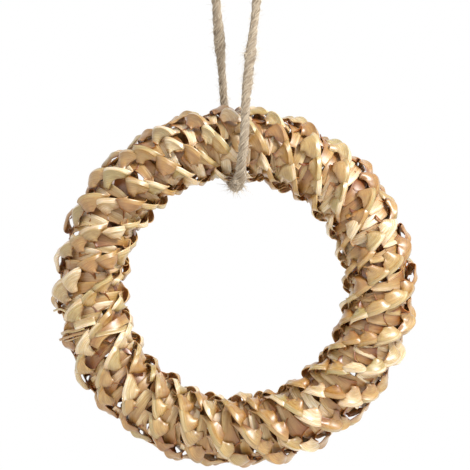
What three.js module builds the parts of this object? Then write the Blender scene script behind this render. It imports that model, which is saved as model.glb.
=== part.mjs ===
// Plaited straw ring on a jute hanger. Millimetres, +Z up, the front of the ring faces -Y.
// The origin is where the hanger rests on its peg: the inside of the loop's top.
import * as THREE from "three";

// Ring: the plaited tube and the circle that it is bent into.
const HANG_DROP = 130;
const RING_RADIUS = 59.5;
const TUBE_RADIUS = 15.4;

// Straw strips: four of them, each a flat band with a slightly raised middle.
const STRANDS = 4;
const STRIP_WIDTH = 3.1;
const STRIP_THICKNESS = 0.5;
const STRIP_GAP = 1.35;

// Plait: how far each layer of it is turned on from the last, and how deep below the crests the strips' middles lie
// where they come out, on the crest, in the valley between two ridges and under the next ridge.
const LAYERS_PER_LOBE = 3;
const RIDGE_START_DEG = 201.7;
const RISE_DEPTH = 2.42;
const CREST_DEPTH = 0.4;
const VALLEY_DEPTH = 3.46;
const INNER_DEPTH = 6.48;

// Twine of the hanger and the knot that ties its ends together behind the ring.
const TWINE_DIAMETER = 3.5;
const TWINE_SIDES = 8;
const TWINE_STEP = 7;
const KNOT_RADIUS = 4;
const KNOT_COILS = 3;
const KNOT_SIDES = 12;
const KNOT_CLEARANCE = 0.6;

const FULL_TURN = 2 * Math.PI;

const STRAW = new THREE.MeshStandardMaterial({ color: 0xd9b77e, roughness: 0.45, metalness: 0 });
const JUTE = new THREE.MeshStandardMaterial({ color: 0xb8a58a, roughness: 0.95, metalness: 0 });

// The ridges close on themselves after a whole number of turns round the tube, so the layers come in full turns.
const layersPerTurn = STRANDS * LAYERS_PER_LOBE;
const ridgeTurns = Math.round((FULL_TURN * RING_RADIUS) / (layersPerTurn * (STRIP_WIDTH + STRIP_GAP)));
const layers = layersPerTurn * ridgeTurns;
const layerTurn = FULL_TURN / layersPerTurn;
const stitchTurn = FULL_TURN / STRANDS + layerTurn;

// One stitch of a strip, from where it comes out of the plait to where it is back inside. Each station gives the
// way round the tube as a share of the stitch, the way along the ring in layers, the depth below the crests and how
// far the strip is turned: 0 has its width round the tube, 1 has its width along the ring.
const STITCH = [
  { round: -0.041, along: -1.48, depth: RISE_DEPTH, turned: 0.125 },
  { round: 0.022, along: -0.15, depth: CREST_DEPTH, turned: 0.012 },
  { round: 0.341, along: -0.046, depth: VALLEY_DEPTH, turned: 0.965 },
  { round: 0.712, along: 0.044, depth: INNER_DEPTH, turned: 0.94 },
];

function onTube(around, ringAngle, radius) {
  const outward = new THREE.Vector3(Math.sin(ringAngle), 0, Math.cos(ringAngle));
  const front = new THREE.Vector3(0, -1, 0);
  const fromCentreLine = outward.clone().multiplyScalar(Math.cos(around)).addScaledVector(front, Math.sin(around));
  const hoopwise = outward.clone().multiplyScalar(-Math.sin(around)).addScaledVector(front, Math.cos(around));
  const ringwise = new THREE.Vector3(Math.cos(ringAngle), 0, -Math.sin(ringAngle));
  const point = outward.clone().multiplyScalar(RING_RADIUS).addScaledVector(fromCentreLine, radius);
  return { point, fromCentreLine, hoopwise, ringwise };
}

function strandStations(strand) {
  const stations = [];
  for (let layer = 0; layer < layers; layer += 1) {
    for (const { round, along, depth, turned } of STITCH) {
      const around = (strand * FULL_TURN) / STRANDS + (layer + round) * stitchTurn;
      const ringAngle = THREE.MathUtils.degToRad(RIDGE_START_DEG) + ((layer + along) * FULL_TURN) / layers;
      const place = onTube(around, ringAngle, TUBE_RADIUS - depth);
      const quarter = (turned * Math.PI) / 2;
      const across = place.hoopwise.clone().multiplyScalar(Math.cos(quarter));
      across.addScaledVector(place.ringwise, Math.sin(quarter));
      stations.push({ point: place.point, across, outward: place.fromCentreLine });
    }
  }
  return stations;
}

// A closed loop of flat triangular sections: two edges and a raised middle.
function stripGeometry(stations) {
  const count = stations.length;
  const positions = [];
  stations.forEach(({ point, across, outward }, i) => {
    const before = stations[(i + count - 1) % count].point;
    const after = stations[(i + 1) % count].point;
    const tangent = after.clone().sub(before).normalize();
    const width = across.clone().addScaledVector(tangent, -across.dot(tangent)).normalize();
    const face = new THREE.Vector3().crossVectors(tangent, width);
    const edge = width.clone().multiplyScalar(STRIP_WIDTH / 2);
    const half = face.multiplyScalar(STRIP_THICKNESS / 2);
    const corners = [
      point.clone().add(edge).sub(half),
      point.clone().add(half),
      point.clone().sub(edge).sub(half),
    ];
    corners.forEach((corner) => positions.push(corner.x, corner.y, corner.z));
  });
  const index = [];
  const sides = 3;
  for (let i = 0; i < count; i += 1) {
    const next = (i + 1) % count;
    for (let side = 0; side < sides; side += 1) {
      const other = (side + 1) % sides;
      const a = i * sides + side;
      const b = i * sides + other;
      const c = next * sides + other;
      const d = next * sides + side;
      // Both faces of a twisted strip are creased along the same line.
      if (side === sides - 1) index.push(a, b, c, a, c, d);
      else index.push(a, b, d, b, c, d);
    }
  }
  const geometry = new THREE.BufferGeometry();
  geometry.setAttribute("position", new THREE.Float32BufferAttribute(positions, 3));
  geometry.setIndex(index);
  return geometry;
}

function strawRing() {
  const ring = new THREE.Group();
  for (let strand = 0; strand < STRANDS; strand += 1) {
    const mesh = new THREE.Mesh(stripGeometry(strandStations(strand)), STRAW);
    mesh.name = `straw_strand_${strand + 1}`;
    ring.add(mesh);
  }
  ring.position.z = -HANG_DROP;
  return ring;
}

// Route of the twine, from the knot up behind the ring, over the peg, down in front, under and up to the knot.
const TWINE_ROUTE = [
  [-3.0, 19.9, -65.4],
  [-3.1, 19.6, -63.2],
  [-4.2, 16.2, -56.4],
  [-5.1, 12.2, -46.0],
  [-5.9, 9.0, -35.2],
  [-6.7, 6.1, -24.9],
  [-7.8, 3.0, -12.0],
  [-7.9, 1.5, -4.5],
  [-5.2, 0.6, 0.1],
  [0.0, 0.0, 1.75],
  [5.4, -0.6, 0.2],
  [8.4, -1.5, -4.5],
  [8.9, -3.0, -12.0],
  [7.5, -6.2, -24.9],
  [6.3, -8.8, -35.2],
  [5.2, -11.7, -45.7],
  [4.3, -14.6, -55.4],
  [4.1, -17.0, -63.0],
  [3.6, -18.2, -70.5],
  [2.6, -16.0, -79.6],
  [2.0, -9.4, -86.5],
  [0.2, 0.0, -88.9],
  [-1.7, 9.4, -86.5],
  [-2.5, 16.6, -81.8],
  [-2.9, 19.6, -77.8],
  [-3.0, 19.9, -75.6],
];

function twineGeometry() {
  const points = TWINE_ROUTE.map(([x, y, z]) => new THREE.Vector3(x, y, z));
  const route = new THREE.CatmullRomCurve3(points, false, "centripetal");
  const section = new THREE.Shape();
  for (let side = 0; side < TWINE_SIDES; side += 1) {
    const angle = (side * FULL_TURN) / TWINE_SIDES;
    const x = (TWINE_DIAMETER / 2) * Math.cos(angle);
    const y = (TWINE_DIAMETER / 2) * Math.sin(angle);
    if (side === 0) section.moveTo(x, y);
    else section.lineTo(x, y);
  }
  section.closePath();
  const steps = Math.round(route.getLength() / TWINE_STEP);
  return new THREE.ExtrudeGeometry(section, { steps, bevelEnabled: false, extrudePath: route });
}

// The knot lies between the twine's two ends: coils of twine one above another round an upright line.
function knotGeometry(height) {
  const stepsPerCoil = 4;
  const groove = TWINE_DIAMETER / 6;
  const profile = [new THREE.Vector2(0, -height / 2)];
  for (let i = 0; i <= KNOT_COILS * stepsPerCoil; i += 1) {
    const along = i / (KNOT_COILS * stepsPerCoil);
    const coil = Math.abs(Math.sin(along * KNOT_COILS * Math.PI));
    const rounding = Math.sqrt(1 - (1.6 * (along - 0.5)) ** 2);
    profile.push(new THREE.Vector2((KNOT_RADIUS - groove * (1 - coil)) * rounding, (along - 0.5) * height));
  }
  profile.push(new THREE.Vector2(0, height / 2));
  const geometry = new THREE.LatheGeometry(profile, KNOT_SIDES);
  return geometry.rotateX(Math.PI / 2);
}

function hanger() {
  const group = new THREE.Group();
  const twine = new THREE.Mesh(twineGeometry(), JUTE);
  twine.name = "jute_hanger";
  const start = TWINE_ROUTE[0];
  const end = TWINE_ROUTE[TWINE_ROUTE.length - 1];
  const height = start[2] - end[2] - 2 * KNOT_CLEARANCE;
  const knot = new THREE.Mesh(knotGeometry(height), JUTE);
  knot.name = "hanger_knot";
  knot.position.set(start[0], start[1], (start[2] + end[2]) / 2);
  group.add(twine, knot);
  return group;
}

const ornament = new THREE.Group();
ornament.add(strawRing(), hanger());

export default ornament;
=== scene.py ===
"""Straw ornament: a ring plaited from four flat straw strips, hung by a loop of jute twine.

Lengths are in millimetres until a mesh is made, and the row frame's metres after that. The origin is the inside of
the hanging loop's top, the ring's front faces -Y and angles along the ring run clockwise from its top.
"""
import math
import random
from collections import namedtuple

import bmesh
import bpy
from mathutils import Matrix
from mathutils import Vector
from mathutils import noise


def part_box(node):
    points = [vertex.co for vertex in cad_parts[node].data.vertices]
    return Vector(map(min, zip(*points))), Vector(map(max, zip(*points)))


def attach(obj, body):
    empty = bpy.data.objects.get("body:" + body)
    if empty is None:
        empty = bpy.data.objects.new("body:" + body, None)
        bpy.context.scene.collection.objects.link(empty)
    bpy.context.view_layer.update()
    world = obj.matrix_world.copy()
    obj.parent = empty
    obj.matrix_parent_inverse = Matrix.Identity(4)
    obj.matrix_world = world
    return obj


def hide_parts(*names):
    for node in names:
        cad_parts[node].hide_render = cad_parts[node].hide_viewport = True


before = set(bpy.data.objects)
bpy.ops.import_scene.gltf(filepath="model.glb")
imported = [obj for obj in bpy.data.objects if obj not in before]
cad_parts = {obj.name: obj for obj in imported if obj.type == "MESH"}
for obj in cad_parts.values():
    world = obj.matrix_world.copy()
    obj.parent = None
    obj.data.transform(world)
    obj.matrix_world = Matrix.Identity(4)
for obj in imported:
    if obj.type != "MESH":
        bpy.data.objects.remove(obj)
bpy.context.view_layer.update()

MM = 0.001
FULL_TURN = 2 * math.pi

# The photograph's frame and where the ring stands in it.
PHOTO_SIDE_PX = 470
MM_PER_PX = 0.412
RING_CENTRE_PX = (235, 287)
CAMERA_DISTANCE = 1200

# The ring and its plait, as in the solids.
HANG_DROP = 130
RING_RADIUS = 59.5
STRANDS = 4
LAYERS = 84
LAYERS_PER_LOBE = 3
RIDGE_START_DEG = 201.7
STITCH_TURN = FULL_TURN / (STRANDS * LAYERS_PER_LOBE) - FULL_TURN / STRANDS

# One flattened straw: its wall and how finely its mesh is laid.
STRAW_WALL = 0.32
STEPS_PER_STATION = 2
FLAP_ROWS = 9
RIBBON_ROWS = 3
STRIP_ROWS = FLAP_ROWS + 1 + RIBBON_ROWS
# A crease sharper than this shows as an edge.
SHARP_FOLD_DEG = 28
# Where a strip leans along its own way, its width is squared up as if it stood at least this far across it.
LEAST_ACROSS = 0.75
# Share of the light that goes into the thin wall and comes out warmer.
LIGHT_THROUGH = 0.25
# Distances from the tube's centre line between which painted shade comes in: the straw darkens to orange-brown in the
# plait's inner parts, where shade falls.
PAINTED_SHADE_FROM = 11.6
PAINTED_SHADE_TO = 9.6

# Lay of a stitch. Hoop lengths are measured round the tube at this radius.
HOOP_RADIUS = 12.5
STITCH_HOOP = HOOP_RADIUS * STITCH_TURN

# One stitch of a strip: hoop is mm round the tube, along is layers along the ring and out is mm from the tube's
# centre line. The leans give the way the strip's width points and flap is the width on one side of the
# lengthwise fold. Fold is how sharp that fold is, from 0 to 1, and curl is how far, in radians, the flap's edge
# turns down. The last field is how much painted shade, an orange-brown darkening, the strip gets there, from 0 to
# 1: most where it tucks under at a petal's start and end and along the hidden bands.
Station = namedtuple("Station", "hoop along out lean_hoop lean_ring lean_out flap fold curl brown")
PETAL = (
    Station(-2.70, -0.56, 11.9, -0.88, 0.47, 0.24, 3.6, 0.0, 0.0, 0.8),
    Station(-3.20, -0.72, 12.8, -0.88, 0.47, 0.24, 4.2, 0.0, 0.2, 0.6),
    Station(-3.20, -0.70, 13.8, -0.88, 0.47, 0.22, 5.2, 0.10, 0.5, 0.3),
    Station(-2.50, -0.50, 14.9, -0.84, 0.54, 0.14, 6.6, 0.35, 0.9, 0.1),
    Station(-1.20, -0.20, 15.6, -0.75, 0.66, 0.04, 6.8, 0.70, 1.1, 0.0),
    Station(0.50, 0.13, 15.7, -0.60, 0.80, 0.0, 6.0, 0.90, 1.1, 0.0),
    Station(2.30, 0.42, 15.0, -0.40, 0.92, 0.0, 4.6, 0.70, 0.9, 0.0),
    Station(3.70, 0.62, 13.6, -0.20, 0.98, 0.0, 2.6, 0.40, 0.4, 0.4),
)
BAND = (
    Station(4.1, 0.80, 12.8, -0.10, 1.0, 0.0, 1.8, 0.0, 0.2, 0.6),
    Station(3.4, 0.95, 12.0, 0.0, 1.0, 0.0, 1.9, 0.0, 0.2, 0.4),
    Station(1.0, 1.00, 11.6, 0.0, 1.0, 0.0, 2.1, 0.0, 0.2, 0.1),
    Station(-2.2, 0.98, 11.3, 0.0, 1.0, 0.0, 2.6, 0.0, 0.2, 0.1),
    Station(-6.5, 0.92, 11.0, 0.0, 1.0, 0.0, 4.2, 0.0, 0.2, 0.3),
    Station(-10.5, 0.80, 10.6, -0.1, 1.0, 0.0, 5.4, 0.0, 0.2, 0.6),
    Station(-14.3, 0.55, 10.6, -0.6, 0.8, 0.0, 5.6, 0.0, 0.3, 0.8),
)
# How far hand plaiting moves a petal and a band from the even lay, for each field of a station.
PETAL_STRAY = Station(1.05, 0.18, 0.50, 0.20, 0.16, 0.12, 0.9, 0.25, 0.35, 0.12)
BAND_STRAY = Station(0.4, 0.10, 0.35, 0.06, 0.06, 0.12, 0.5, 0.05, 0.15, 0.2)
# How much more painted shade, an orange-brown darkening, the flap's far edge gets than its fold.
EDGE_PAINTED_SHADE = 0.4
# The ridges wander round the tube: waves along the ring, with the turn of each in radians and its start.
WANDER = ((2, 0.05, 0.4), (3, 0.07, 2.1), (5, 0.05, 4.0), (9, 0.03, 1.0))
# Past the lengthwise fold the strip shows a ribbon of even width. The ribbon falls away flat and the flap on the
# other side steeply, by so many radians where the fold is 1.
RIBBON_WIDTH = 2.0
RIBBON_PITCH = 0.5
FLAP_PITCH = 1.2
# How much paler, on the scale of tones from 0 to 1, the ribbon is than the flap: a painted highlight on the ribbon.
RIBBON_PAINTED_HIGHLIGHT = 0.3

# The joint: the tube's radius to its crests, and the ribbon's width there as a share of the flap's.
CREST_RADIUS = 14.6
JOINT_RIBBON = 0.7
# Each strip end's way in pixels of the photograph, its flap's width and its lift off the crests, in mm.
JOINT_STRIPS = (
    (((128, 318), (121, 322), (112, 328), (101, 337), (96, 346)), 2.4, 0.2),
    (((133, 325), (122, 329), (108, 332), (97, 334)), 1.2, 0.5),
    (((97, 320), (88, 322), (76, 326)), 2.0, 0.6),
    (((90, 331), (80, 333), (71, 336), (60, 340)), 0.6, 0.2),
    (((88, 334), (78, 337), (70, 340), (63, 341)), 0.3, 0.0),
    (((86, 327), (77, 330), (68, 331), (62, 334)), 0.7, 0.3),
    (((82, 318), (72, 314), (62, 309), (54, 311)), 0.5, 0.0),
)

# Jute twine, three-ply.
TWINE_DIAMETER = 3.5
TWINE_PLIES = 3
TWINE_LAY = 13.0
TWINE_AROUND = 36
TWINE_STEP = 0.4
# Hand-spun unevenness: the side of the loop, the height in mm, the length in mm and the share by which it is thicker.
SWELLINGS = (
    (-1, -28.0, 7.0, 0.26), (-1, -47.0, 8.0, -0.16), (1, -22.0, 5.0, -0.10), (1, -35.0, 3.2, 0.36),
    (1, -46.5, 5.0, 0.24), (1, -84.0, 4.0, 0.30), (-1, -60.0, 5.0, 0.08),
)
# Tufts of loose fibre: side, height, number of fibres and their length in mm.
TUFTS = ((1, -35.0, 120, 3.2), (1, -44.0, 60, 2.6), (1, -46.5, 50, 2.2), (-1, -30.0, 50, 2.0), (1, -86.5, 140, 4.2),
         (-1, -88.0, 120, 3.8))
STRAY_FIBRES = 1500
STRAY_LENGTH = 2.4
TUFT_REACH = 2.0
FIBRE_RADIUS = 0.07
FIBRE_TIP = 0.3

# The knot: turns of twine round an upright line, in mm.
KNOT_TURNS = 2.4
KNOT_RISE = 6.0
KNOT_RADIUS = 2.3
KNOT_STEPS = 24
KNOT_START = 0.6

# A mix node's colour sockets by number, since several of its sockets share a name.
MIX_SHARE = 0
MIX_UNDER = 6
MIX_OVER = 7
MIX_RESULT = 2


def linear(hex_colour):
    """A colour written as sRGB hex, as the linear colour that a shader takes."""
    channels = [int(hex_colour[i:i + 2], 16) / 255 for i in (1, 3, 5)]
    return [c / 12.92 if c <= 0.04045 else ((c + 0.055) / 1.055) ** 2.4 for c in channels] + [1.0]


def add_node(tree, kind, links=None, **settings):
    """Adds a shader node. Settings name properties or input sockets, and links name an input for each output."""
    node = tree.nodes.new(kind)
    for name, value in settings.items():
        if hasattr(node, name):
            setattr(node, name, value)
        else:
            node.inputs[name.replace("_", " ")].default_value = value
    for name, output in (links or {}).items():
        tree.links.new(output, node.inputs[name])
    return node


def new_material(name):
    """A material with an empty Principled surface: returns the material, its tree and the surface node."""
    material = bpy.data.materials.new(name)
    material.use_nodes = True
    tree = material.node_tree
    return material, tree, tree.nodes["Principled BSDF"]


def ramp(tree, factor, stops):
    """A colour ramp through stops of (position, sRGB hex)."""
    node = add_node(tree, "ShaderNodeValToRGB", {"Fac": factor})
    elements = node.color_ramp.elements
    while len(elements) < len(stops):
        elements.new(0.5)
    for element, (position, colour) in zip(elements, stops):
        element.position = position
        element.color = linear(colour)
    return node.outputs["Color"]


def fibre_noise(tree, along_mm, across_mm):
    """Noise stretched along a strip or a twine, whose UV map counts millimetres along and across."""
    uv = add_node(tree, "ShaderNodeUVMap", uv_map="lay")
    spread = add_node(tree, "ShaderNodeMapping", {"Vector": uv.outputs["UV"]})
    spread.inputs["Scale"].default_value = (1 / along_mm, 1 / across_mm, 1)
    return add_node(
        tree, "ShaderNodeTexNoise", {"Vector": spread.outputs["Vector"]}, Scale=1.0, Detail=3.0, Roughness=0.6
    ).outputs["Fac"]


def straw_material(name, tones, fibre_dark, roughness, coat):
    """Flattened straw: each length has its own tone, darkened toward orange-brown by painted shade, with fine fibres
    along it that catch the light.
    """
    material, tree, surface = new_material(name)
    tone = add_node(tree, "ShaderNodeAttribute", attribute_name="tone")
    plain = ramp(tree, tone.outputs["Fac"], tones)
    # Painted shade: the colour is multiplied toward this orange-brown where the shade attribute is high.
    brown = add_node(tree, "ShaderNodeAttribute", attribute_name="brown")
    painted_shade_mix = add_node(tree, "ShaderNodeMix", data_type="RGBA", blend_type="MULTIPLY")
    tree.links.new(brown.outputs["Fac"], painted_shade_mix.inputs[MIX_SHARE])
    tree.links.new(plain, painted_shade_mix.inputs[MIX_UNDER])
    painted_shade_mix.inputs[MIX_OVER].default_value = linear("#c08a38")
    colour = painted_shade_mix.outputs[MIX_RESULT]
    broad = fibre_noise(tree, along_mm=14.0, across_mm=2.5)
    fine = fibre_noise(tree, along_mm=7.0, across_mm=0.22)
    blotched = add_node(tree, "ShaderNodeMix", data_type="RGBA", blend_type="MULTIPLY")
    tree.links.new(ramp(tree, broad, ((0.45, "#000000"), (0.75, "#ffffff"))), blotched.inputs[MIX_SHARE])
    tree.links.new(colour, blotched.inputs[MIX_UNDER])
    blotched.inputs[MIX_OVER].default_value = linear("#d8cdb4")
    fibred = add_node(tree, "ShaderNodeMix", data_type="RGBA", blend_type="MULTIPLY")
    tree.links.new(ramp(tree, fine, ((0.35, "#ffffff"), (0.75, "#000000"))), fibred.inputs[MIX_SHARE])
    tree.links.new(blotched.outputs[MIX_RESULT], fibred.inputs[MIX_UNDER])
    fibred.inputs[MIX_OVER].default_value = linear(fibre_dark)
    tree.links.new(fibred.outputs[MIX_RESULT], surface.inputs["Base Color"])
    rough = add_node(tree, "ShaderNodeMapRange", {"Value": fine}, To_Min=roughness - 0.08, To_Max=roughness + 0.12)
    tree.links.new(rough.outputs["Result"], surface.inputs["Roughness"])
    bump = add_node(tree, "ShaderNodeBump", {"Height": fine}, Strength=0.8, Distance=0.08 * MM)
    tree.links.new(bump.outputs["Normal"], surface.inputs["Normal"])
    surface.inputs["Subsurface Weight"].default_value = LIGHT_THROUGH
    surface.inputs["Subsurface Radius"].default_value = (1.0, 0.6, 0.22)
    surface.inputs["Subsurface Scale"].default_value = 1.2 * MM
    surface.inputs["IOR"].default_value = 1.5
    surface.inputs["Coat Weight"].default_value = coat
    surface.inputs["Coat Roughness"].default_value = 0.36
    return material


def on_tube(around, ring_angle, radius):
    """A point on a tube of that radius round the ring, with the ways out of, round and along the tube there."""
    outward = Vector((math.sin(ring_angle), 0, math.cos(ring_angle)))
    along = Vector((math.cos(ring_angle), 0, -math.sin(ring_angle)))
    front = Vector((0, -1, 0))
    out = outward * math.cos(around) + front * math.sin(around)
    hoop = front * math.cos(around) - outward * math.sin(around)
    point = outward * RING_RADIUS + out * radius - Vector((0, 0, HANG_DROP))
    return point, out, hoop, along


def spline(before, start, end, after, share):
    """A Catmull-Rom step between start and end."""
    return 0.5 * (
        2 * start
        + (end - before) * share
        + (2 * before - 5 * start + 4 * end - after) * share ** 2
        + (3 * start - before - 3 * end + after) * share ** 3
    )


def strand_course(rng):
    """The stations of one strip all the way round the ring, each stitch with its own hand-made stray."""
    course = []
    for layer in range(LAYERS):
        for stations, stray in ((PETAL, PETAL_STRAY), (BAND, BAND_STRAY)):
            moved = [spread * max(-2.0, min(2.0, rng.gauss(0, 1))) for spread in stray]
            for even in stations:
                strayed = [value + shift for value, shift in zip(even, moved)]
                strayed[0] += layer * STITCH_HOOP
                strayed[1] += layer
                course.append(strayed)
    return course


def strand_sections(strand, course):
    """Evenly smoothed sections of a closed course: place, width direction, profile and browning."""
    count = len(course)
    lap = (LAYERS * STITCH_HOOP, LAYERS)

    def at(i):
        wraps, j = divmod(i, count)
        return [value + wraps * (lap[k] if k < 2 else 0) for k, value in enumerate(course[j])]

    sections = []
    for i in range(count):
        around_it = [at(i + step) for step in (-1, 0, 1, 2)]
        for sub in range(STEPS_PER_STATION):
            share = sub / STEPS_PER_STATION
            values = [spline(*four, share) for four in zip(*around_it)]
            here = Station(*values)
            ring_angle = math.radians(RIDGE_START_DEG) + here.along * FULL_TURN / LAYERS
            around = here.hoop / HOOP_RADIUS + strand * FULL_TURN / STRANDS
            around += sum(turn * math.sin(waves * ring_angle + begin) for waves, turn, begin in WANDER)
            point, out, hoop, along = on_tube(around, ring_angle, here.out)
            lean = hoop * here.lean_hoop + along * here.lean_ring + out * here.lean_out
            sections.append((point, lean, strip_profile(here.flap, here.fold, here.curl), here.brown))
    return sections


def strip_profile(flap, fold, curl, ribbon=RIBBON_WIDTH):
    """The rows of a section, from the flap's edge to the ribbon's: the way across the strip from the lengthwise
    fold, and then sideways and down where the row lies. The ribbon is flat. The flap falls away steeply beside the
    fold, levels out and curls down at its edge."""
    step = flap / FLAP_ROWS
    rows = [(0.0, 0.0, 0.0)]
    sideways, down = 0.0, 0.0
    for row in range(FLAP_ROWS):
        share = (row + 0.5) / FLAP_ROWS
        pitch = fold * FLAP_PITCH * (1 - share) ** 2 + curl * share ** 2
        sideways -= step * math.cos(pitch)
        down += step * math.sin(pitch)
        rows.insert(0, (-step * (row + 1), sideways, down))
    pitch = fold * RIBBON_PITCH
    for row in range(RIBBON_ROWS):
        reach = ribbon * (row + 1) / RIBBON_ROWS
        rows.append((reach, reach * math.cos(pitch), reach * math.sin(pitch)))
    return rows


def painted_shade_inside(point):
    """How much painted shade the straw gets there, from 0 outside to 1 in the plait's inner parts, where shade falls.
    """
    from_centre_line = math.hypot(math.hypot(point.x, point.z + HANG_DROP) - RING_RADIUS, point.y)
    return max(0.0, min(1.0, (PAINTED_SHADE_FROM - from_centre_line) / (PAINTED_SHADE_FROM - PAINTED_SHADE_TO)))


def lay_strip(name, sections, tones, closed, materials):
    """A strip laid through its sections, with its UV map in millimetres, a tone for each section and its painted
    shade, an orange-brown darkening.
    """
    mesh = bmesh.new()
    count = len(sections)
    spans = count if closed else count - 1
    bmesh.ops.create_grid(mesh, x_segments=spans, y_segments=STRIP_ROWS - 1, size=1)
    uv_layer = mesh.loops.layers.uv.new("lay")
    tone_layer = mesh.verts.layers.float.new("tone")
    painted_shade_layer = mesh.verts.layers.float.new("brown")
    frames = []
    length = 0.0
    for i, (point, lean, profile, brown) in enumerate(sections):
        before = sections[i - 1][0] if i or closed else point
        after = sections[(i + 1) % count][0] if closed or i + 1 < count else point
        tangent = (after - before).normalized()
        across = lean.normalized()
        square = tangent.cross(across)
        across /= max(square.length, LEAST_ACROSS)
        frames.append((point, across, square.normalized(), profile, brown, length))
        length += (sections[(i + 1) % count][0] - point).length
    places = {}
    for vert in mesh.verts:
        column = round((vert.co.x + 1) / 2 * spans)
        row = round((vert.co.y + 1) / 2 * (STRIP_ROWS - 1))
        point, across, face, profile, brown, reached = frames[column % count]
        if column == count:
            reached = length
        from_fold, sideways, down = profile[row]
        places[vert] = (reached, from_fold)
        vert.co = (point + across * sideways - face * down) * MM
        # Painted highlight: the ribbon past the fold gets a paler tone than the flap.
        vert[tone_layer] = min(1.0, tones[column % count] + (RIBBON_PAINTED_HIGHLIGHT if from_fold > 0 else 0.0))
        from_edge = row / FLAP_ROWS
        # Painted shade: the larger of the darkening inside the plait and the station's own, plus more toward the
        # flap's far edge.
        vert[painted_shade_layer] = max(painted_shade_inside(vert.co / MM), brown + EDGE_PAINTED_SHADE * max(0.0, 1 - from_edge) ** 2)
    for mesh_face in mesh.faces:
        mesh_face.smooth = True
        for loop in mesh_face.loops:
            loop[uv_layer].uv = places[loop.vert]
    if closed:
        bmesh.ops.remove_doubles(mesh, verts=mesh.verts, dist=0.001 * MM)
    data = bpy.data.meshes.new(name)
    mesh.to_mesh(data)
    mesh.free()
    data.set_sharp_from_angle(angle=math.radians(SHARP_FOLD_DEG))
    piece = bpy.data.objects.new(name, data)
    bpy.context.collection.objects.link(piece)
    for material in materials:
        data.materials.append(material)
    wall = piece.modifiers.new("wall", "SOLIDIFY")
    wall.thickness = STRAW_WALL * MM
    wall.offset = 0
    wall.material_offset = 1
    wall.material_offset_rim = 2
    return piece


def straw_ring(rng, materials):
    """The four plaited strips, each in the place of its solid."""
    for strand in range(STRANDS):
        sections = strand_sections(strand, strand_course(rng))
        tones = strand_tones(rng, len(sections))
        piece = lay_strip(f"straw_strip_{strand + 1}", sections, tones, True, materials)
        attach(piece, "root")
        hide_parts(f"straw_strand_{strand + 1}")


def joint_strips(rng, materials):
    """The plait's joint on the left: ends of the strips laid over it, cut off or frayed at the outer edge."""
    for number, (pixels, width, lift) in enumerate(JOINT_STRIPS):
        middle = [front_place(x, y, lift) for x, y in pixels]
        line = smooth_line(middle, 1.0 * MM)
        sections = []
        for i, point in enumerate(line):
            tangent = (line[min(i + 1, len(line) - 1)] - line[max(i - 1, 0)]).normalized()
            lean = tangent.cross(Vector((0, 1, 0)))
            profile = strip_profile(width, 0.0, rng.uniform(0.1, 0.6), JOINT_RIBBON * width)
            sections.append((point / MM, lean, profile, 0.0))
        tones = [rng.random()] * len(sections)
        piece = lay_strip(f"straw_joint_end_{number + 1}", sections, tones, False, materials)
        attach(piece, "root")


def front_place(x, y, lift):
    """The place, in metres, on the front of the ring at a pixel of the photograph, lifted by mm off the crests."""
    across = (x - RING_CENTRE_PX[0]) * MM_PER_PX
    height = (RING_CENTRE_PX[1] - y) * MM_PER_PX
    off_line = math.hypot(across, height) - RING_RADIUS
    front = math.sqrt(max(CREST_RADIUS ** 2 - off_line ** 2, 4.0)) + lift
    return Vector((across, -front, height - HANG_DROP)) * MM


def strand_tones(rng, count):
    """A tone for each section: one at random for each petal and one for each band."""
    per_stitch = (len(PETAL) + len(BAND)) * STEPS_PER_STATION
    petals_until = len(PETAL) * STEPS_PER_STATION
    tones = []
    for stitch in range(count // per_stitch):
        petal = rng.random()
        band = rng.random()
        tones += [petal] * petals_until + [band] * (per_stitch - petals_until)
    return tones


# Route of the twine in metres: up behind the ring, over the peg, down in front, under and up to the knot.
TWINE_ROUTE = (
    (-0.0030, 0.0199, -0.0654),
    (-0.0031, 0.0196, -0.0632),
    (-0.0042, 0.0162, -0.0564),
    (-0.0051, 0.0122, -0.0460),
    (-0.0059, 0.0090, -0.0352),
    (-0.0067, 0.0061, -0.0249),
    (-0.0078, 0.0030, -0.0120),
    (-0.0079, 0.0015, -0.0045),
    (-0.0052, 0.0006, 0.0001),
    (0.0000, 0.0000, 0.00175),
    (0.0054, -0.0006, 0.0002),
    (0.0084, -0.0015, -0.0045),
    (0.0089, -0.0030, -0.0120),
    (0.0075, -0.0062, -0.0249),
    (0.0063, -0.0088, -0.0352),
    (0.0052, -0.0117, -0.0457),
    (0.0043, -0.0146, -0.0554),
    (0.0041, -0.0170, -0.0630),
    (0.0036, -0.0182, -0.0705),
    (0.0026, -0.0160, -0.0796),
    (0.0020, -0.0094, -0.0865),
    (0.0002, 0.0000, -0.0889),
    (-0.0017, 0.0094, -0.0865),
    (-0.0025, 0.0166, -0.0818),
    (-0.0029, 0.0196, -0.0778),
    (-0.0030, 0.0199, -0.0756),
)


def smooth_line(points, step):
    """Points a step apart on a smooth line through the given ones, all in metres."""
    points = [Vector(p) for p in points]
    padded = [2 * points[0] - points[1]] + points + [2 * points[-1] - points[-2]]
    fine = []
    for i in range(len(points) - 1):
        pieces = max(2, round((points[i + 1] - points[i]).length / (step / 4)))
        for j in range(pieces):
            fine.append(Vector([spline(*four, j / pieces) for four in zip(*padded[i:i + 4])]))
    fine.append(points[-1])
    line = [fine[0]]
    walked = 0.0
    for a, b in zip(fine, fine[1:]):
        walked += (b - a).length
        if walked >= step:
            line.append(b)
            walked = 0.0
    if (line[-1] - fine[-1]).length < step / 2:
        line.pop()
    line.append(fine[-1])
    return line


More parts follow.
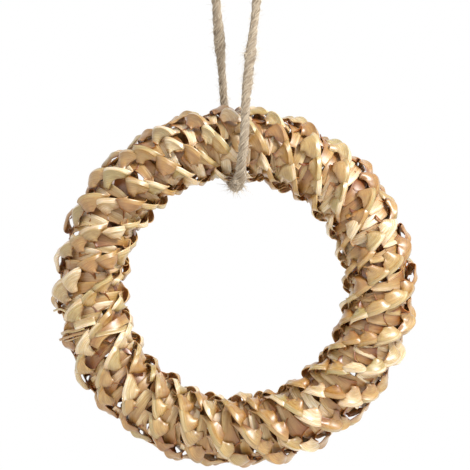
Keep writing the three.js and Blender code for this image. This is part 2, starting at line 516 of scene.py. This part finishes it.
def line_frames(line):
    """Two steady cross directions for each point of a line."""
    frames = []
    side = None
    for i, point in enumerate(line):
        tangent = (line[min(i + 1, len(line) - 1)] - line[max(i - 1, 0)]).normalized()
        side = side or tangent.orthogonal()
        side = (side - tangent * side.dot(tangent)).normalized()
        frames.append((point, side, tangent.cross(side), tangent))
    return frames


def swelling(point):
    """How much thicker or thinner than its mean the spun twine is there."""
    share = 1 + 0.10 * noise.noise(Vector((point.z / MM / 6, 4.0 if point.x > 0 else 9.0, 0.5)))
    for side, height, length, extra in SWELLINGS:
        if point.x * side > 0:
            share += extra * math.exp(-(((point.z / MM - height) / length) ** 2))
    return share


def jute_fibres(rng, line, material):
    """Loose fibres that stand off the twine: strays all along it, and tufts where the photograph shows them."""
    frames = line_frames(line)
    starts = [(rng.randrange(len(frames)), STRAY_LENGTH) for _ in range(STRAY_FIBRES)]
    for side, height, number, length in TUFTS:
        near = [i for i, point in enumerate(line) if point.x * side > 0 and abs(point.z / MM - height) < TUFT_REACH]
        starts += [(rng.choice(near), length) for _ in range(number)]
    mesh = bmesh.new()
    for index, length in starts:
        point, side, up, tangent = frames[index]
        angle = rng.uniform(0, FULL_TURN)
        off = side * math.cos(angle) + up * math.sin(angle)
        way = tangent * rng.choice((-1, 1)) * rng.uniform(0.4, 1.0) + off * rng.uniform(0.2, 0.8)
        way += Vector((rng.gauss(0, 0.25), rng.gauss(0, 0.25), rng.gauss(0, 0.25)))
        reach = length * rng.uniform(0.5, 1.4)
        turn = way.to_track_quat("Z", "Y").to_matrix().to_4x4()
        root = point + off * TWINE_DIAMETER / 2 * 0.8 * swelling(point) * MM
        middle = root + way.normalized() * reach / 2 * MM
        bmesh.ops.create_cone(
            mesh, cap_ends=True, segments=3, radius1=FIBRE_RADIUS * MM, radius2=FIBRE_RADIUS * FIBRE_TIP * MM,
            depth=reach * MM, matrix=Matrix.Translation(middle) @ turn,
        )
    data = bpy.data.meshes.new("jute_fibres")
    mesh.to_mesh(data)
    mesh.free()
    data.materials.append(material)
    piece = bpy.data.objects.new("jute_fibres", data)
    bpy.context.collection.objects.link(piece)
    return piece


def twine_body(name, line, material, taper_ends=False):
    """Three-ply twine along a line: one closed skin whose section has a lobe for each ply and turns with the lay."""
    frames = line_frames(line)
    count = len(frames) - 1
    mesh = bmesh.new()
    bmesh.ops.create_grid(mesh, x_segments=count, y_segments=TWINE_AROUND, size=1)
    uv_layer = mesh.loops.layers.uv.new("lay")
    radius = TWINE_DIAMETER / 2
    reached = [0.0]
    for a, b in zip(line, line[1:]):
        reached.append(reached[-1] + (b - a).length / MM)
    places = {}
    for vert in mesh.verts:
        column = round((vert.co.x + 1) / 2 * count)
        angle = (vert.co.y + 1) / 2 * FULL_TURN
        point, side, up, _ = frames[column]
        turned = angle + FULL_TURN * reached[column] / TWINE_LAY
        lobe = abs(math.cos(TWINE_PLIES * angle / 2))
        rough = noise.noise(Vector((reached[column] / 2.5, 2.2 * math.cos(angle), 2.2 * math.sin(angle))))
        size = radius * (0.70 + 0.36 * (1 - (1 - lobe) ** 2)) * (1 + 0.12 * rough) * swelling(point)
        if taper_ends:
            from_end = min(reached[column], reached[-1] - reached[column])
            size *= min(1.0, 0.55 + 0.45 * from_end / TWINE_DIAMETER)
        vert.co = point + (side * math.cos(turned) + up * math.sin(turned)) * size * MM
        places[vert] = (reached[column], angle / FULL_TURN * math.pi * TWINE_DIAMETER)
    for face in mesh.faces:
        face.smooth = True
        for loop in face.loops:
            loop[uv_layer].uv = places[loop.vert]
    bmesh.ops.remove_doubles(mesh, verts=mesh.verts, dist=0.0005 * MM)
    ends = [edge for edge in mesh.edges if edge.is_boundary]
    bmesh.ops.holes_fill(mesh, edges=ends, sides=0)
    bmesh.ops.recalc_face_normals(mesh, faces=mesh.faces)
    data = bpy.data.meshes.new(name)
    mesh.to_mesh(data)
    mesh.free()
    data.materials.append(material)
    piece = bpy.data.objects.new(name, data)
    bpy.context.collection.objects.link(piece)
    return piece


def jute_material():
    """Spun jute: dull greyish beige bast fibre, with paler and darker fibres that run with the twist."""
    material, tree, surface = new_material("spun_jute")
    broad = fibre_noise(tree, along_mm=5.0, across_mm=0.8)
    fine = fibre_noise(tree, along_mm=3.5, across_mm=0.3)
    colour = ramp(tree, fine, ((0.32, "#615342"), (0.45, "#897a66"), (0.58, "#aa9c86"), (0.72, "#cabfaa")))
    mixed = add_node(tree, "ShaderNodeMix", data_type="RGBA", blend_type="MULTIPLY")
    tree.links.new(ramp(tree, broad, ((0.4, "#000000"), (0.8, "#ffffff"))), mixed.inputs[MIX_SHARE])
    tree.links.new(colour, mixed.inputs[MIX_UNDER])
    mixed.inputs[MIX_OVER].default_value = linear("#a8937a")
    tree.links.new(mixed.outputs[MIX_RESULT], surface.inputs["Base Color"])
    bump = add_node(tree, "ShaderNodeBump", {"Height": fine}, Strength=0.8, Distance=0.15 * MM)
    tree.links.new(bump.outputs["Normal"], surface.inputs["Normal"])
    surface.inputs["Roughness"].default_value = 0.85
    surface.inputs["Sheen Weight"].default_value = 0.3
    return material


def loose_jute_fibre():
    """Single bast fibres: pale and dull, each a little darker or lighter from place to place."""
    material, tree, surface = new_material("loose_jute_fibre")
    place = add_node(tree, "ShaderNodeTexCoord").outputs["Object"]
    cloud = add_node(tree, "ShaderNodeTexNoise", {"Vector": place}, Scale=0.4 / MM, Detail=2.0).outputs["Fac"]
    colour = ramp(tree, cloud, ((0.35, "#a8977d"), (0.5, "#c3b49c"), (0.65, "#d9ccb6")))
    tree.links.new(colour, surface.inputs["Base Color"])
    surface.inputs["Roughness"].default_value = 0.7
    surface.inputs["Sheen Weight"].default_value = 0.4
    return material


def hanging_twine(rng, jute, loose_fibre):
    """The loop of twine with its knot behind the ring."""
    line = smooth_line(TWINE_ROUTE, TWINE_STEP * MM)
    twine = twine_body("jute_twine", line, jute)
    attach(twine, "root")
    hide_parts("jute_hanger")
    knot_line = smooth_line(knot_route(), TWINE_STEP * MM)
    knot = twine_body("jute_knot", knot_line, jute, taper_ends=True)
    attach(knot, "root")
    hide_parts("hanger_knot")
    fibres = jute_fibres(rng, line, loose_fibre)
    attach(fibres, "root")


def knot_route():
    """A wrapped knot: turns of twine one above another, between the twine's two ends."""
    low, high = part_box("hanger_knot")
    centre = (Vector(low) + Vector(high)) / 2
    rise = KNOT_RISE * MM
    radius = KNOT_RADIUS * MM
    points = []
    for i in range(KNOT_STEPS + 1):
        share = i / KNOT_STEPS
        angle = FULL_TURN * KNOT_TURNS * share + KNOT_START
        points.append(centre + Vector((radius * math.cos(angle), radius * math.sin(angle), rise * (share - 0.5))))
    return points


def camera_and_light():
    """A straight-on product view with a white surround, a soft key from the upper right and a floor below."""
    view_width = PHOTO_SIDE_PX * MM_PER_PX
    middle = PHOTO_SIDE_PX / 2
    across = (middle - RING_CENTRE_PX[0]) * MM_PER_PX
    height = (RING_CENTRE_PX[1] - middle) * MM_PER_PX - HANG_DROP
    camera = bpy.data.objects.new("camera", bpy.data.cameras.new("camera"))
    camera.data.lens = camera.data.sensor_width * CAMERA_DISTANCE / view_width
    camera.location = Vector((across, -CAMERA_DISTANCE, height)) * MM
    camera.rotation_euler = (math.pi / 2, 0, 0)
    bpy.context.collection.objects.link(camera)
    bpy.context.scene.camera = camera

    ring_centre = Vector((0, 0, -HANG_DROP * MM))
    for name, place, size, power in (
        ("key_light", (0.48, -0.42, 0.36), 0.22, 8.8),
        ("fill_light", (-0.7, -0.6, 0.1), 0.7, 1.0),
    ):
        light = bpy.data.objects.new(name, bpy.data.lights.new(name, "AREA"))
        light.data.energy = power
        light.data.size = size
        light.location = place
        light.rotation_euler = (ring_centre - Vector(place)).to_track_quat("-Z", "Y").to_euler()
        bpy.context.collection.objects.link(light)

    world = bpy.data.worlds.new("white_surround")
    world.use_nodes = True
    world.node_tree.nodes["Background"].inputs["Color"].default_value = (1, 1, 1, 1)
    world.node_tree.nodes["Background"].inputs["Strength"].default_value = 1.0
    bpy.context.scene.world = world
    bpy.context.scene.view_settings.view_transform = "Standard"

    floor_mesh = bmesh.new()
    bmesh.ops.create_grid(floor_mesh, x_segments=1, y_segments=1, size=0.26)
    for vert in floor_mesh.verts:
        vert.co.z = -0.226
    floor_data = bpy.data.meshes.new("floor")
    floor_mesh.to_mesh(floor_data)
    floor_mesh.free()
    floor = bpy.data.objects.new("floor", floor_data)
    bpy.context.collection.objects.link(floor)
    material, _, surface = new_material("pale_matt_board")
    surface.inputs["Base Color"].default_value = linear("#efece6")
    surface.inputs["Roughness"].default_value = 0.9
    floor_data.materials.append(material)


camera_and_light()
shine_side = straw_material(
    "straw_waxy_outer_side",
    ((0.0, "#ae8746"), (0.3, "#b99a5d"), (0.55, "#c1aa72"), (0.72, "#b6ad7b"), (0.85, "#cec29a"), (1.0, "#efe9d8")),
    fibre_dark="#c6a56c", roughness=0.36, coat=1.0,
)
pith_side = straw_material(
    "straw_pithy_inner_side",
    ((0.0, "#b28c4c"), (0.35, "#bfa267"), (0.65, "#d0be90"), (0.85, "#e4dabe"), (1.0, "#f4efe0")),
    fibre_dark="#c8a870", roughness=0.42, coat=0.6,
)
cut_edge = straw_material(
    "straw_cut_edge",
    ((0.0, "#dcc08d"), (1.0, "#f0e0b8")),
    fibre_dark="#c9a56e", roughness=0.6, coat=0.0,
)
jute = jute_material()
hanging_twine(random.Random(7), jute, loose_jute_fibre())
straw_ring(random.Random(5), (shine_side, pith_side, cut_edge))
joint_strips(random.Random(3), (shine_side, pith_side, cut_edge))
